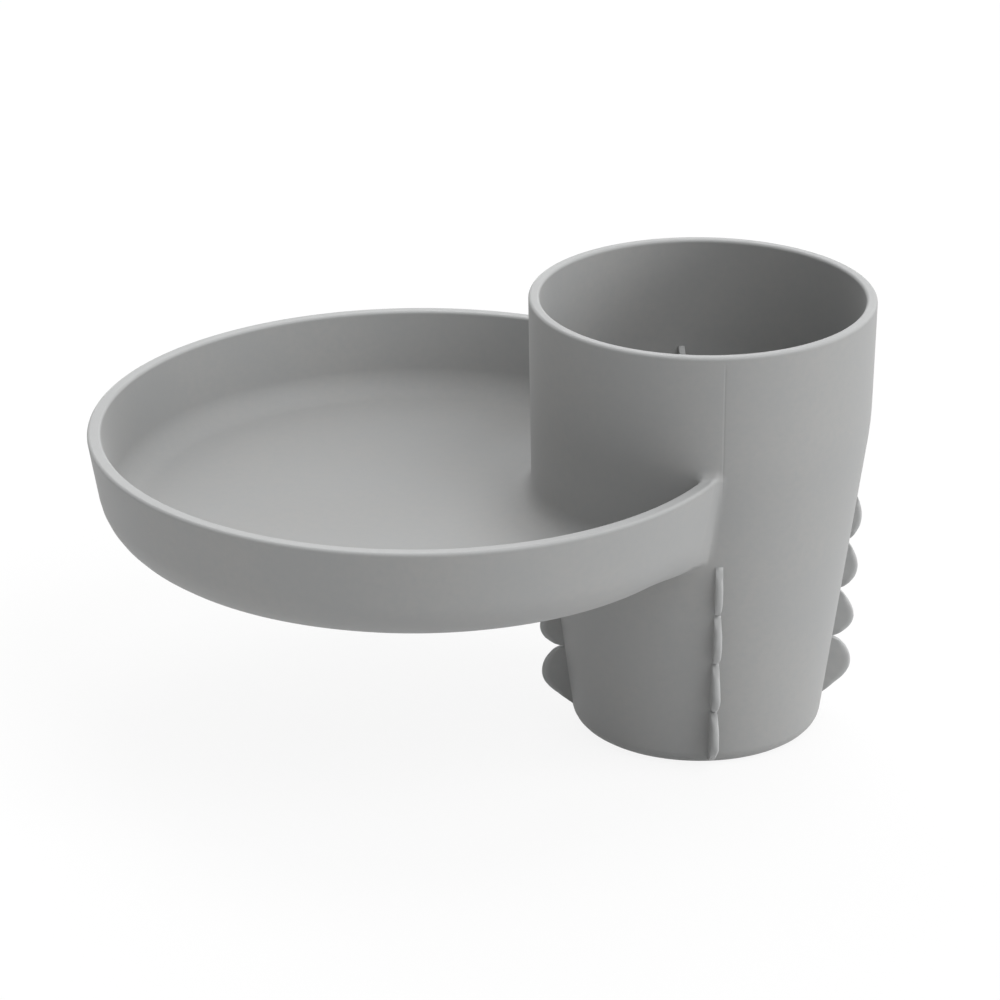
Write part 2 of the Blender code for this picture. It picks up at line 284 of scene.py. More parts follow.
def share(name, description, default):
    """A plain factor that a user may change."""
    return bpy.props.FloatProperty(
        name=name, description=description, default=default, subtype="FACTOR", min=0, soft_max=1
    )


def lamp_strength(name, description, default):
    """The strength of a sun lamp that a user may change."""
    return bpy.props.FloatProperty(name=name, description=description, default=default, min=0)


def angle(name, description, degrees):
    """An angle that a user may change."""
    return bpy.props.FloatProperty(
        name=name, description=description, default=math.radians(degrees), subtype="ANGLE"
    )


def colour(name, description, code):
    """A colour that a user may change, from its sRGB hex code."""
    return bpy.props.FloatVectorProperty(
        name=name, description=description, default=linear(code), subtype="COLOR", size=4, min=0, max=1
    )


def group(kind, name, description):
    """A group of sizes or colours that belong together."""
    return bpy.props.PointerProperty(type=kind, name=name, description=description)


def linear(code):
    """An sRGB hex code as linear red, green, blue and alpha."""
    channels = []
    for index in (1, 3, 5):
        value = int(code[index:index + 2], 16) / 255
        channels.append(value / 12.92 if value <= 0.04045 else ((value + 0.055) / 1.055) ** 2.4)
    return (*channels, 1.0)


class TrayCupSizes(bpy.types.PropertyGroup):
    """The tapered cup, steeper above the level of the dish rim."""

    height: length("Height", "From the base to the rim", CUP_HIGH.z)
    rim_radius: length("Rim radius", "Outer radius at the rim", 47.3 * MILLIMETRE)
    knee_radius: length("Knee radius", "Outer radius at the level of the dish rim", 46.5 * MILLIMETRE)
    knee_round: length("Knee round", "Radius that eases one cone into the other", 90 * MILLIMETRE)
    base_radius: length("Base radius", "Outer radius of the lower cone at the base", 34.1 * MILLIMETRE)
    wall: length("Wall", "Thickness of the wall", 3 * MILLIMETRE)
    floor: length("Floor", "Thickness of the floor", 3 * MILLIMETRE)
    base_round: length("Base round", "Radius of the edge that it stands on", 5 * MILLIMETRE)
    well_round: length("Well round", "Radius of the corner between floor and wall", 4 * MILLIMETRE)


class TrayDishSizes(bpy.types.PropertyGroup):
    """The round dish, with its floor, its leaning wall and its rim."""

    rim_radius: length("Rim radius", "Outer radius at the rim", 89.8 * MILLIMETRE)
    rim_height: length("Rim height", "Height of the rim above the base of the cup", DISH_HIGH.z)
    centre: length("Centre", "From the axis of the cup to the middle of the dish", 77.8 * MILLIMETRE)
    depth: length("Depth", "From the underside to the rim", DISH_HIGH.z - DISH_LOW.z)
    draft: angle("Draft", "Lean of the wall", 9.6)
    wall: length("Wall", "Thickness of the wall", 3.8 * MILLIMETRE)
    floor: length("Floor", "Thickness of the floor", 5.3 * MILLIMETRE)
    corner: length("Corner", "Outer radius between floor and wall", 15.0 * MILLIMETRE)
    corner_at_cup: length("Corner at the cup", "The same radius beside the cup", 8.5 * MILLIMETRE)
    well_round: length("Well round", "Inner radius between floor and wall", 8.5 * MILLIMETRE)
    collar_draft: angle("Collar draft", "Lean of the cup's wall inside and above the dish", 1.0)


class TrayDetailSizes(bpy.types.PropertyGroup):
    """What a mould leaves on both: rounded rims, soft fillets and its parting line."""

    rim_round: length("Rim round", "Radius of both edges of each rim", 0.9 * MILLIMETRE)
    floor_fillet: length("Fillet at the floor", "How far the dish floor and cup blend", 6.5 * MILLIMETRE)
    rim_fillet: length("Fillet at the rim", "How far the dish rim and cup blend", 3.2 * MILLIMETRE)
    outer_fillet: length("Outer fillet", "How far cup and dish blend outside", 2.2 * MILLIMETRE)
    line_width: length("Parting line width", "Half width of the line down the cup", 0.26 * MILLIMETRE)
    line_depth: length("Parting line depth", "Depth of the line down the cup", 0.06 * MILLIMETRE)
    coarse: length("Coarse mesh", "Longest step of the mesh on plain walls", 3 * MILLIMETRE)
    fine: share("Fine mesh", "Longest edge of the mesh in a fillet, as a share of its reach", 0.22)


class TrayGripFinSizes(bpy.types.PropertyGroup):
    """The outer fins in line with the dish, which wedge the cup in a holder."""

    top: length("Top", "Height of the upper end", 66.0 * MILLIMETRE)
    bottom: length("Bottom", "Height of the lower end", 4.5 * MILLIMETRE)
    top_stand: length("Stand at the top", "How far the first crest stands off the wall", 3.4 * MILLIMETRE)
    low_stand: length("Stand at the bottom", "How far the last crest stands off the wall", 7.3 * MILLIMETRE)
    lead_in: length("Lead-in", "Extra length of the last lobe", 3.4 * MILLIMETRE)


class TraySideGripFinSizes(bpy.types.PropertyGroup):
    """The outer fins at the cup's front and back, which sit lower."""

    top: length("Top", "Height of the upper end", 63.4 * MILLIMETRE)
    bottom: length("Bottom", "Height of the lower end", 1.6 * MILLIMETRE)
    top_stand: length("Stand at the top", "How far the first crest stands off the wall", 3.4 * MILLIMETRE)
    low_stand: length("Stand at the bottom", "How far the last crest stands off the wall", 7.3 * MILLIMETRE)
    lead_in: length("Lead-in", "Extra length of the last lobe", 1.5 * MILLIMETRE)


class TrayCupFinSizes(bpy.types.PropertyGroup):
    """The inner columns of fins that hold a smaller bottle in the cup."""

    top: length("Top", "Height of the upper end", 93.8 * MILLIMETRE)
    bottom: length("Bottom", "Height of the lower end", 35.0 * MILLIMETRE)
    top_stand: length("Stand at the top", "How far the first crest stands off the wall", 7.4 * MILLIMETRE)
    low_stand: length("Stand at the bottom", "How far the last crest stands off the wall", 3.5 * MILLIMETRE)
    lead_in: length("Lead-in", "Extra length of the last lobe", 0.0)


class TrayLobeShape(bpy.types.PropertyGroup):
    """The shape that every lobe has, whatever its size."""

    thickness: length("Thickness", "Thickness of the blade", 2 * MILLIMETRE)
    gap: length("Gap", "Gap between the solid lobe and the wall in the CAD", 0.3 * MILLIMETRE)
    crest: share("Crest", "Where the crest lies along the lobe, from its upper end", 0.57)
    lead_in_crest: share("Crest of the lead-in", "The same for the last outer lobe", 0.43)
    round_end: share("Round end", "Fullness of a rounded end, less is rounder", 0.6)
    slanted_end: share("Slanted end", "Fullness of the end that leads into the holder", 1.07)
    edge_round: length("Edge round", "Radius of the blade's edges", 0.85 * MILLIMETRE)
    root_depth: length("Root depth", "How deep the root runs into the wall", 1.3 * MILLIMETRE)
    root_flare: length("Root flare", "Radius of the fillet at the root", 0.12 * MILLIMETRE)
    upper_taper: share("Upper taper", "Share of its thickness that the upper end loses", 0.04)
    lower_taper: share("Lower taper", "Share of its thickness that the lower end loses", 0.28)
    tip_taper: share("Tip taper", "Share that the uppermost inner lobe loses at its upper end", 0.15)
    wander: length("Wander", "How far the soft blade strays from its plane", 0.16 * MILLIMETRE)
    trim: length("Trim", "Unevenness that trimming leaves on the edge", 0.07 * MILLIMETRE)
    bend: length("Bend", "Length of the root that bends as the lobe folds", 2.8 * MILLIMETRE)


class TraySiliconeLook(bpy.types.PropertyGroup):
    """The grey silicone."""

    tone: colour("Tone", "Colour of the pigment", "#a2a3a3")
    dust: colour("Dust tone", "Colour where fine dust and bloom lie", "#a6a6a5")
    # A painted highlight: rims and crests are drawn paler than the silicone's own tone
    rubbed: colour("Painted highlight tone", "Colour of rims and crests, painted paler as a highlight", "#b2b3b3")
    roughness: share("Roughness", "Roughness that the blasted mould gives", 0.62)
    sheen: share("Sheen", "Soft light that the fine grain catches at a low angle", 0.12)
    grain: length("Grain", "Size of the grain", 0.45 * MILLIMETRE)
    grain_depth: length("Grain depth", "Depth of the grain", 0.012 * MILLIMETRE)


class TrayStageLook(bpy.types.PropertyGroup):
    """The floor and the light."""

    floor: colour("Floor", "Colour that the floor throws back on the tray", "#dadada")
    sky: share("Sky", "Light that comes evenly from all sides", 0.36)
    side: lamp_strength("Side", "Strength of the low light on the right", 1.18)
    key: lamp_strength("Key", "Strength of the light high in front on the right", 0.95)
    back: lamp_strength("Back", "Strength of the broad light behind the tray", 1.10)
    top: lamp_strength("Top", "Strength of the light almost overhead", 0.63)
    shadow: share("Shadow", "How much of the floor's own shading the camera sees", 0.12)


class TraySettings(bpy.types.PropertyGroup):
    """All sizes and colours of the tray."""

    cup: group(TrayCupSizes, "Cup", "Sizes of the cup")
    dish: group(TrayDishSizes, "Dish", "Sizes of the dish")
    detail: group(TrayDetailSizes, "Detail", "Rims and fillets")
    grip: group(TrayGripFinSizes, "Outer fins", "Their sizes")
    side_grip: group(TraySideGripFinSizes, "Outer side fins", "Their sizes")
    hold: group(TrayCupFinSizes, "Inner fins", "Their sizes")
    lobe: group(TrayLobeShape, "Lobe", "Shape of a lobe")
    silicone: group(TraySiliconeLook, "Silicone", "Its looks")
    stage: group(TrayStageLook, "Stage", "Floor and light")


def add_node(tree, kind, inputs=None, **settings):
    """Add a node with its settings, its input values and its links, and return its outputs."""
    node = tree.nodes.new(kind)
    for name, value in settings.items():
        setattr(node, name, value)
    for name, value in (inputs or {}).items():
        if isinstance(value, bpy.types.NodeSocket):
            tree.links.new(value, node.inputs[name])
        else:
            node.inputs[name].default_value = value
    return node.outputs


def shown_in_scene(name, mesh):
    """A new object at the origin that shows a mesh."""
    obj = bpy.data.objects.new(name, mesh)
    bpy.context.scene.collection.objects.link(obj)
    return obj


def evaluated_mesh(obj, name):
    """An object's mesh with its modifiers applied."""
    bpy.context.view_layer.update()
    depsgraph = bpy.context.evaluated_depsgraph_get()
    mesh = bpy.data.meshes.new_from_object(obj.evaluated_get(depsgraph))
    mesh.name = name
    return mesh


class Straight(NamedTuple):
    """A straight stretch of an outline."""

    start: Vector
    end: Vector

    def points(self, step):
        """Points from its start up to its end, which isn't among them."""
        count = max(1, math.ceil((self.end - self.start).length / step))
        return [self.start.lerp(self.end, index / count) for index in range(count)]

    def measure(self, out, up):
        """How near each point is, and how far to the outer side it lies."""
        way = self.end - self.start
        along = ((out - self.start.x) * way.x + (up - self.start.y) * way.y) / way.length_squared
        along = np.clip(along, 0, 1)
        near = np.hypot(out - self.start.x - way.x * along, up - self.start.y - way.y * along)
        side = ((up - self.start.y) * way.x - (out - self.start.x) * way.y) / way.length
        return near, side


class Round(NamedTuple):
    """A rounded corner of an outline, whose sweep is negative where the corner stands out."""

    centre: Vector
    radius: float
    first: float
    sweep: float

    def points(self, step):
        """Points from its start up to its end, which isn't among them."""
        count = max(ROUND_STEPS, math.ceil(abs(self.sweep) * self.radius / step))
        return [self.at(index / count) for index in range(count)]

    def at(self, part):
        """The point at a share of its sweep."""
        turned = self.first + self.sweep * part
        return self.centre + self.radius * Vector((math.cos(turned), math.sin(turned)))

    def measure(self, out, up):
        """How near each point is, and how far to the outer side it lies."""
        facing = math.copysign(1, -self.sweep)
        across = np.hypot(out - self.centre.x, up - self.centre.y)
        turned = (np.arctan2(up - self.centre.y, out - self.centre.x) - self.first) * -facing
        within = np.mod(turned, 2 * math.pi) <= abs(self.sweep)
        side = (across - self.radius) * facing
        near = np.where(within, np.abs(side), np.inf)
        return near, side


def rounded_outline(corners):
    """Straights and rounds through corners, each given as (out, up) or (out, up, radius)."""
    outline = []
    start = Vector(corners[0][:2])
    for before, corner, after in zip(corners, corners[1:], corners[2:]):
        here = Vector(corner[:2])
        back = Vector(before[:2]) - here
        onward = Vector(after[:2]) - here
        half = back.angle(onward) / 2
        reach = min(corner[2] / math.tan(half), back.length / 2, onward.length / 2)
        radius = reach * math.tan(half)
        centre = here + (back.normalized() + onward.normalized()).normalized() * (radius / math.sin(half))
        first = here + back.normalized() * reach
        last = here + onward.normalized() * reach
        outline.append(Straight(start, first))
        # angle_signed counts clockwise turns as positive
        sweep = -(first - centre).angle_signed(last - centre)
        outline.append(Round(centre, radius, math.atan2(first.y - centre.y, first.x - centre.x), sweep))
        start = last
    outline.append(Straight(start, Vector(corners[-1][:2])))
    return outline


def wall_radius(cup, dish, height):
    """Outer radius of the cup at a height, or at many."""
    heights = (0, dish.rim_height, cup.height)
    return np.interp(height, heights, (cup.base_radius, cup.knee_radius, cup.rim_radius))


def cup_outline(cup, dish, detail):
    """Section of the cup, from the middle of its floor up the inside and down the outside."""
    def well(height):
        return float(wall_radius(cup, dish, height)) - cup.wall

    return rounded_outline([
        (0, cup.floor),
        (well(cup.floor), cup.floor, cup.well_round),
        (well(dish.rim_height), dish.rim_height, cup.knee_round),
        (well(cup.height), cup.height, detail.rim_round),
        (cup.rim_radius, cup.height, detail.rim_round),
        (cup.knee_radius, dish.rim_height, cup.knee_round),
        (cup.base_radius, 0, cup.base_round),
        (0, 0),
    ])


def collar_radius(cup, dish, height):
    """Outer radius of the cup inside and above the dish, where the upper mould pulls off it."""
    return cup.rim_radius - (cup.height - height) * math.tan(dish.collar_draft)


def collar_outline(cup, dish, detail):
    """Section of the cup as it is inside and above the dish."""
    return rounded_outline([
        (0, cup.height),
        (cup.rim_radius, cup.height, detail.rim_round),
        (collar_radius(cup, dish, 0), 0, detail.rim_round),
        (0, 0),
    ])


def dish_outline(dish, detail, corner):
    """Section of the dish about its own axis, up the inside and down the outside."""
    underside = dish.rim_height - dish.depth
    floor = underside + dish.floor
    draft = math.tan(dish.draft)
    inner_rim = dish.rim_radius - dish.wall
    return rounded_outline([
        (0, floor),
        (inner_rim - (dish.rim_height - floor) * draft, floor, dish.well_round),
        (inner_rim, dish.rim_height, detail.rim_round),
        (dish.rim_radius, dish.rim_height, detail.rim_round),
        (dish.rim_radius - dish.depth * draft, underside, corner),
        (0, underside),
    ])


def turned_mesh(name, section, angles, centre):
    """A closed solid of revolution, from a section whose two ends lie on the axis."""
    rings = section[1:-1]
    verts = [(centre, 0, section[0].y)]
    for point in rings:
        verts += [(centre + point.x * math.cos(a), point.x * math.sin(a), point.y) for a in angles]
    verts.append((centre, 0, section[-1].y))
    count = len(angles)
    last = len(verts) - 1
    final = 1 + (len(rings) - 1) * count
    faces = []
    for step in range(count):
        following = (step + 1) % count
        faces.append((0, 1 + step, 1 + following))
        faces.append((last, final + following, final + step))
        for ring in range(len(rings) - 1):
            near = 1 + ring * count
            far = near + count
            faces.append((near + step, far + step, far + following, near + following))
    mesh = bpy.data.meshes.new(name)
    mesh.from_pydata(verts, [], faces)
    return mesh


def section_points(outline, step):
    """Points along an outline, from its first end to its last."""
    points = []
    for part in outline:
        points += part.points(step)
    points.append(outline[-1].end)
    return points


def even_angles(count, close_to=(), steps=()):
    """Directions round an axis, with more of them a few steps either side of some directions."""
    found = [2 * math.pi * index / count for index in range(count)]
    for middle in close_to:
        # The even directions make way where they would crowd the steps
        reach = max(steps, default=0) * CLEARED
        found = [a for a in found if abs(math.remainder(a - middle, 2 * math.pi)) > reach]
        found += [middle] + [middle + step for step in steps] + [middle - step for step in steps]
    return sorted(a % (2 * math.pi) for a in found)


def eased(value):
    """From 0 to 1, level at both ends."""
    value = np.clip(value, 0, 1)
    return value ** 2 * (3 - 2 * value)


def turned_distance(section, centre, points):
    """How far out of a turned solid each point is."""
    x, y, z = points.T
    out = np.hypot(x - centre, y)
    nearest = np.full(len(points), np.inf)
    distance = np.zeros(len(points))
    for part in section:
        near, side = part.measure(out, z)
        better = near < nearest
        nearest[better] = near[better]
        distance[better] = side[better]
    return distance


class Moulding:
    """The moulding's skin as a distance, with its fillets and its parting line."""

    def __init__(self, settings):
        self.cup = settings.cup
        self.dish = settings.dish
        self.detail = settings.detail
        self.cup_section = cup_outline(self.cup, self.dish, self.detail)
        self.collar_section = collar_outline(self.cup, self.dish, self.detail)
        self.dish_section = dish_outline(self.dish, self.detail, self.dish.corner)
        self.dish_section_at_cup = dish_outline(self.dish, self.detail, self.dish.corner_at_cup)

    def depth_in_dish(self, points):
        """How far inside the middle of the dish's wall each point is, and above that of its floor."""
        x, y, z = points.T
        dish = self.dish
        lean = math.tan(dish.draft)
        middle = dish.rim_radius - dish.wall / 2 + (z - dish.rim_height) * lean
        floor = dish.rim_height - dish.depth + dish.floor / 2
        return middle - np.hypot(x + dish.centre, y), z - floor

    def collar_share(self, points):
        """1 where the cup's wall is the collar, inside and above the dish, and 0 elsewhere."""
        within, above = self.depth_in_dish(points)
        # Above the rim nothing hides the step between the two walls, so it eases over far more
        over_rim = (points[:, 2] - self.dish.rim_height) / COLLAR_EASE_HEIGHT
        width = self.dish.wall / 2 + COLLAR_EASE_WIDTH * eased(over_rim)
        return eased(0.5 + within / width / 2) * eased(0.5 + above * 2 / self.dish.floor)

    def reach(self, points):
        """Reach of the fillet: wide at the dish floor, less at the rim, and tight outside."""
        dish = self.dish
        detail = self.detail
        above_wide = points[:, 2] - dish.rim_height + WIDE_FILLET_TO * dish.depth
        rise = eased(above_wide / ((WIDE_FILLET_TO - NARROW_FILLET_FROM) * dish.depth))
        inner = detail.floor_fillet + (detail.rim_fillet - detail.floor_fillet) * rise
        within, above = self.depth_in_dish(points)
        past_wall = eased((within + INNER_FILLET_FROM * dish.wall) * 2 / dish.wall)
        share_of_inner = past_wall * eased(0.5 + above * 2 / dish.floor)
        return detail.outer_fillet + (inner - detail.outer_fillet) * share_of_inner

    def parts(self, points):
        """Whether each point is outside the middle of the cup's wall, and its distance to cup and dish."""
        x, y, z = points.T
        cup = self.cup
        outside = np.hypot(x, y) > wall_radius(cup, self.dish, z) - cup.wall / 2
        to_cup = turned_distance(self.cup_section, 0, points)
        to_collar = turned_distance(self.collar_section, 0, points)
        share_of_collar = self.collar_share(points) * outside
        to_cup += (to_collar - to_cup) * share_of_collar

        # The parting line: a shallow groove where the mould's halves met. It starts just below
        # the cup's rim and is gone a little below the level of the dish's rim
        line = self.detail.line_depth * np.exp(-(x / self.detail.line_width) ** 2) * outside
        line *= np.clip((cup.height - self.detail.rim_round - z) / MILLIMETRE, 0, 1)
        to_cup += line * eased((z - self.dish.rim_height) / LINE_END + 1)

        # The dish's outer corner grows fuller where it runs into the cup
        to_dish = turned_distance(self.dish_section, -self.dish.centre, points)
        to_fuller = turned_distance(self.dish_section_at_cup, -self.dish.centre, points)
        to_dish += (to_fuller - to_dish) * eased(1 - to_cup / FULLER_WITHIN)
        return outside, to_cup, to_dish

    def distance(self, points):
        """How far out of the moulding each point is."""
        outside, to_cup, to_dish = self.parts(points)
        reach = self.reach(points)
        weight = np.clip(1 - np.abs(to_cup - to_dish) / reach, 0, 1) / 2
        joined = np.minimum(to_cup, to_dish) - weight ** 2 * reach
        return np.where(outside, joined, to_cup)

    def slope(self, points):
        """How the distance changes along each axis."""
        step = MILLIMETRE / 1000
        changes = []
        for axis in np.eye(3) * step:
            changes.append((self.distance(points + axis) - self.distance(points - axis)) / (2 * step))
        return np.column_stack(changes)

    def longest_edge(self, points):
        """How long an edge may be at each point: short in the fillets, and as it is elsewhere."""
        outside, to_cup, to_dish = self.parts(points)
        reach = self.reach(points)
        close = reach * FINE_WITHIN + self.detail.outer_fillet / 2
        in_fillet = outside & (np.abs(to_cup) < close) & (np.abs(to_dish) < close)
        return np.where(in_fillet, reach * self.detail.fine, np.inf)


def plain_turned(name, corners, centre, angles):
    """An object turned from plain (out, up) corners."""
    return shown_in_scene(name, turned_mesh(name, [Vector(corner) for corner in corners], angles, centre))


def combined(target, operation, other):
    """Combine an object with another one by a Boolean modifier."""
    modifier = target.modifiers.new(operation.lower(), "BOOLEAN")
    modifier.operation = operation
    modifier.object = other


def put_in_order(mesh):
    """Put a mesh's points and faces into one order, because a Boolean's own varies from run to run."""
    points = [tuple(vert.co) for vert in mesh.vertices]
    order = sorted(range(len(points)), key=points.__getitem__)
    place = {old: new for new, old in enumerate(order)}
    faces = []
    for face in mesh.polygons:
        corners = [place[index] for index in face.vertices]
        first = corners.index(min(corners))
        faces.append(corners[first:] + corners[:first])
    mesh.clear_geometry()
    mesh.from_pydata([points[index] for index in order], [], sorted(faces))


def joined_solids(moulding):
    """Cup, collar and dish as one closed mesh, still with a sharp corner where they meet."""
    cup = moulding.cup
    dish = moulding.dish
    detail = moulding.detail
    beside_line = [detail.line_width / cup.knee_radius * part for part in LINE_STEPS]
    angles = even_angles(CUP_STEPS, (COLUMNS["back"], COLUMNS["front"]), beside_line)
    dish_angles = even_angles(DISH_STEPS)
    cup_points = section_points(moulding.cup_section, detail.coarse)
    whole = shown_in_scene("cup_turned", turned_mesh("cup_turned", cup_points, angles, 0))
    dish_points = section_points(moulding.dish_section, detail.coarse)
    bowl = shown_in_scene(
        "dish_turned", turned_mesh("dish_turned", dish_points, dish_angles, -dish.centre)
    )

    # The dish and the collar stop in the middle of the cup's wall
    low = dish.rim_height - 2 * dish.depth
    high = dish.rim_height + dish.depth
    middle = cup.knee_radius - cup.wall / 2
    slope = (cup.knee_radius - cup.base_radius) / dish.rim_height
    plug = plain_turned("cup_plug", [
        (0, high),
        (middle, high),
        (middle, dish.rim_height),
        (middle + slope * (low - dish.rim_height), low),
        (0, low),
    ], 0, even_angles(PLUG_STEPS))
    combined(bowl, "DIFFERENCE", plug)

    # The collar stops in the middle of the dish's floor and wall too, and dips into the cup's
    # wall at its top
    floor = dish.rim_height - dish.depth + dish.floor / 2
    top = dish.rim_height + COLLAR_TOP
    heights = np.linspace(dish.rim_height, floor, COLLAR_LEVELS)
    collar = plain_turned("collar", [
        (0, top),
        (float(wall_radius(cup, dish, top)) - MILLIMETRE, top),
        *[(collar_radius(cup, dish, height), height) for height in heights],
        (0, floor),
    ], 0, angles)
    lean = math.tan(dish.draft)
    rim = dish.rim_radius - dish.wall / 2
    within = plain_turned("dish_inside", section_points(rounded_outline([
        (0, top + MILLIMETRE),
        (rim + (top + MILLIMETRE - dish.rim_height) * lean, top + MILLIMETRE, detail.rim_round),
        (rim - (dish.rim_height - floor) * lean, floor - MILLIMETRE, (dish.corner + dish.well_round) / 2),
        (0, floor - MILLIMETRE),
    ]), detail.coarse), -dish.centre, dish_angles)
    combined(collar, "INTERSECT", within)
    combined(collar, "DIFFERENCE", plug)
    combined(whole, "UNION", bowl)
    combined(whole, "UNION", collar)
    mesh = evaluated_mesh(whole, "tray_moulding")
    for obj in (whole, bowl, plug, collar, within):
        bpy.data.objects.remove(obj, do_unlink=True)
    put_in_order(mesh)
    return mesh


def refine_fillets(form, moulding):
    """Split the long edges near the line where the cup and the dish meet."""
    bmesh.ops.dissolve_degenerate(form, edges=form.edges, dist=CROWDED_EDGE)
    bmesh.ops.triangulate(form, faces=[face for face in form.faces if len(face.verts) > 4])
    for _ in range(HALVINGS):
        form.verts.index_update()
        longest = moulding.longest_edge(np.array([vert.co for vert in form.verts]))
        marked = [
            edge for edge in form.edges
            if edge.calc_length() > min(longest[vert.index] for vert in edge.verts)
        ]
        if not marked:
            break
        faces = dict.fromkeys(face for edge in marked for face in edge.link_faces)
        bmesh.ops.triangulate(form, faces=[face for face in faces if len(face.verts) > 3])
        bmesh.ops.subdivide_edges(form, edges=marked, cuts=1)
        bmesh.ops.triangulate(form, faces=[face for face in form.faces if len(face.verts) > 4])


def settle_on_surface(form, moulding):
    """Move every point onto the moulding's true surface."""
    points = np.array([vert.co for vert in form.verts])
    for _ in range(SURFACE_STEPS):
        slope = moulding.slope(points)
        steep = np.maximum((slope ** 2).sum(1), LEAST_SLOPE)
        points -= slope * (moulding.distance(points) / steep)[:, None]
    for vert, point in zip(form.verts, points):
        vert.co = point


def mend_slivers(form):
    """Close up the slivers, and patch each spot where that leaves a hole or a spare face."""
    bmesh.ops.dissolve_degenerate(form, edges=form.edges, dist=SLIVER_EDGE)
    bmesh.ops.remove_doubles(form, verts=form.verts, dist=MERGED_WITHIN)
    bmesh.ops.triangulate(form, faces=form.faces)
    for _ in range(PATCHINGS):
        faulty = [edge for edge in form.edges if len(edge.link_faces) != 2]
        if not faulty:
            return
        around = dict.fromkeys(
            face for edge in faulty for vert in edge.verts for face in vert.link_faces
        )
        bmesh.ops.delete(form, geom=list(around), context="FACES")
        borders = [edge for edge in form.edges if len(edge.link_faces) == 1]
        patches = bmesh.ops.holes_fill(form, edges=borders)["faces"]
        bmesh.ops.triangulate(form, faces=patches)
    raise RuntimeError("the moulding's skin is not closed")


def dressed(piece, material):
    """Give a piece its material."""
    piece.data.materials.clear()
    piece.data.materials.append(material)


def silicone_material(look):
    """Compression-moulded silicone, pigmented all through, from a blasted steel mould.

    The blasting gives a fine even grain, so it has no sharp highlight: light spreads over it in a
    broad soft sheen that lifts a little at a low angle. It draws fine dust, which lies unevenly.
    """
    material = bpy.data.materials.get("moulded_matte_silicone")
    if material:
        return material
    material = bpy.data.materials.new("moulded_matte_silicone")
    material.use_nodes = True
    tree = material.node_tree
    tree.nodes.clear()
    place = add_node(tree, "ShaderNodeTexCoord")["Object"]

    # Dust and bloom in soft patches, broken up by specks
    patches, specks = (
        add_node(tree, "ShaderNodeTexNoise", {"Vector": place, "Scale": 1 / size, "Detail": detail})
        for size, detail in ((DUST_PATCH, 3), (DUST_SPECK, 2))
    )
    lie = add_node(
        tree, "ShaderNodeMath", {0: patches["Fac"], 1: specks["Fac"]}, operation="MULTIPLY"
    )["Value"]
    lie = add_node(
        tree,
        "ShaderNodeMapRange",
        {"Value": lie, "From Min": DUST_RANGE[0], "From Max": DUST_RANGE[1]},
    )["Result"]
    tone = add_node(
        tree, "ShaderNodeMix", {"Factor": lie, 6: tuple(look.tone), 7: tuple(look.dust)}, data_type="RGBA"
    )[2]
    rough = add_node(
        tree,
        "ShaderNodeMapRange",
        {"Value": lie, "To Min": look.roughness - SMOOTHER, "To Max": look.roughness + ROUGHER},
    )["Result"]

    # Painted highlight: the tops of the rims and the crests of the fins are drawn paler, as if lit more
    rubbed = add_node(tree, "ShaderNodeAttribute", attribute_name=PAINTED_HIGHLIGHT)["Fac"]
    tone = add_node(
        tree, "ShaderNodeMix", {"Factor": rubbed, 6: tone, 7: tuple(look.rubbed)}, data_type="RGBA"
    )[2]

    # The blasted grain is about 0.1 mm, too fine to show, so it is drawn over four times as coarse
    grain = add_node(
        tree,
        "ShaderNodeTexNoise",
        {"Vector": place, "Scale": 1 / look.grain, "Detail": 2, "Roughness": 0.6},
    )["Fac"]
    bump = add_node(
        tree, "ShaderNodeBump", {"Height": grain, "Distance": look.grain_depth, "Strength": 1.0}
    )["Normal"]
    surface = add_node(
        tree,
        "ShaderNodeBsdfPrincipled",
        {
            "Base Color": tone,
            "Roughness": rough,
            "Normal": bump,
            "IOR": 1.41,
            "Metallic": 0.0,
            "Sheen Weight": look.sheen,
            "Sheen Roughness": 0.5,
        },
    )["BSDF"]
    add_node(tree, "ShaderNodeOutputMaterial", {"Surface": surface})
    material.diffuse_color = tuple(look.tone)
    return material


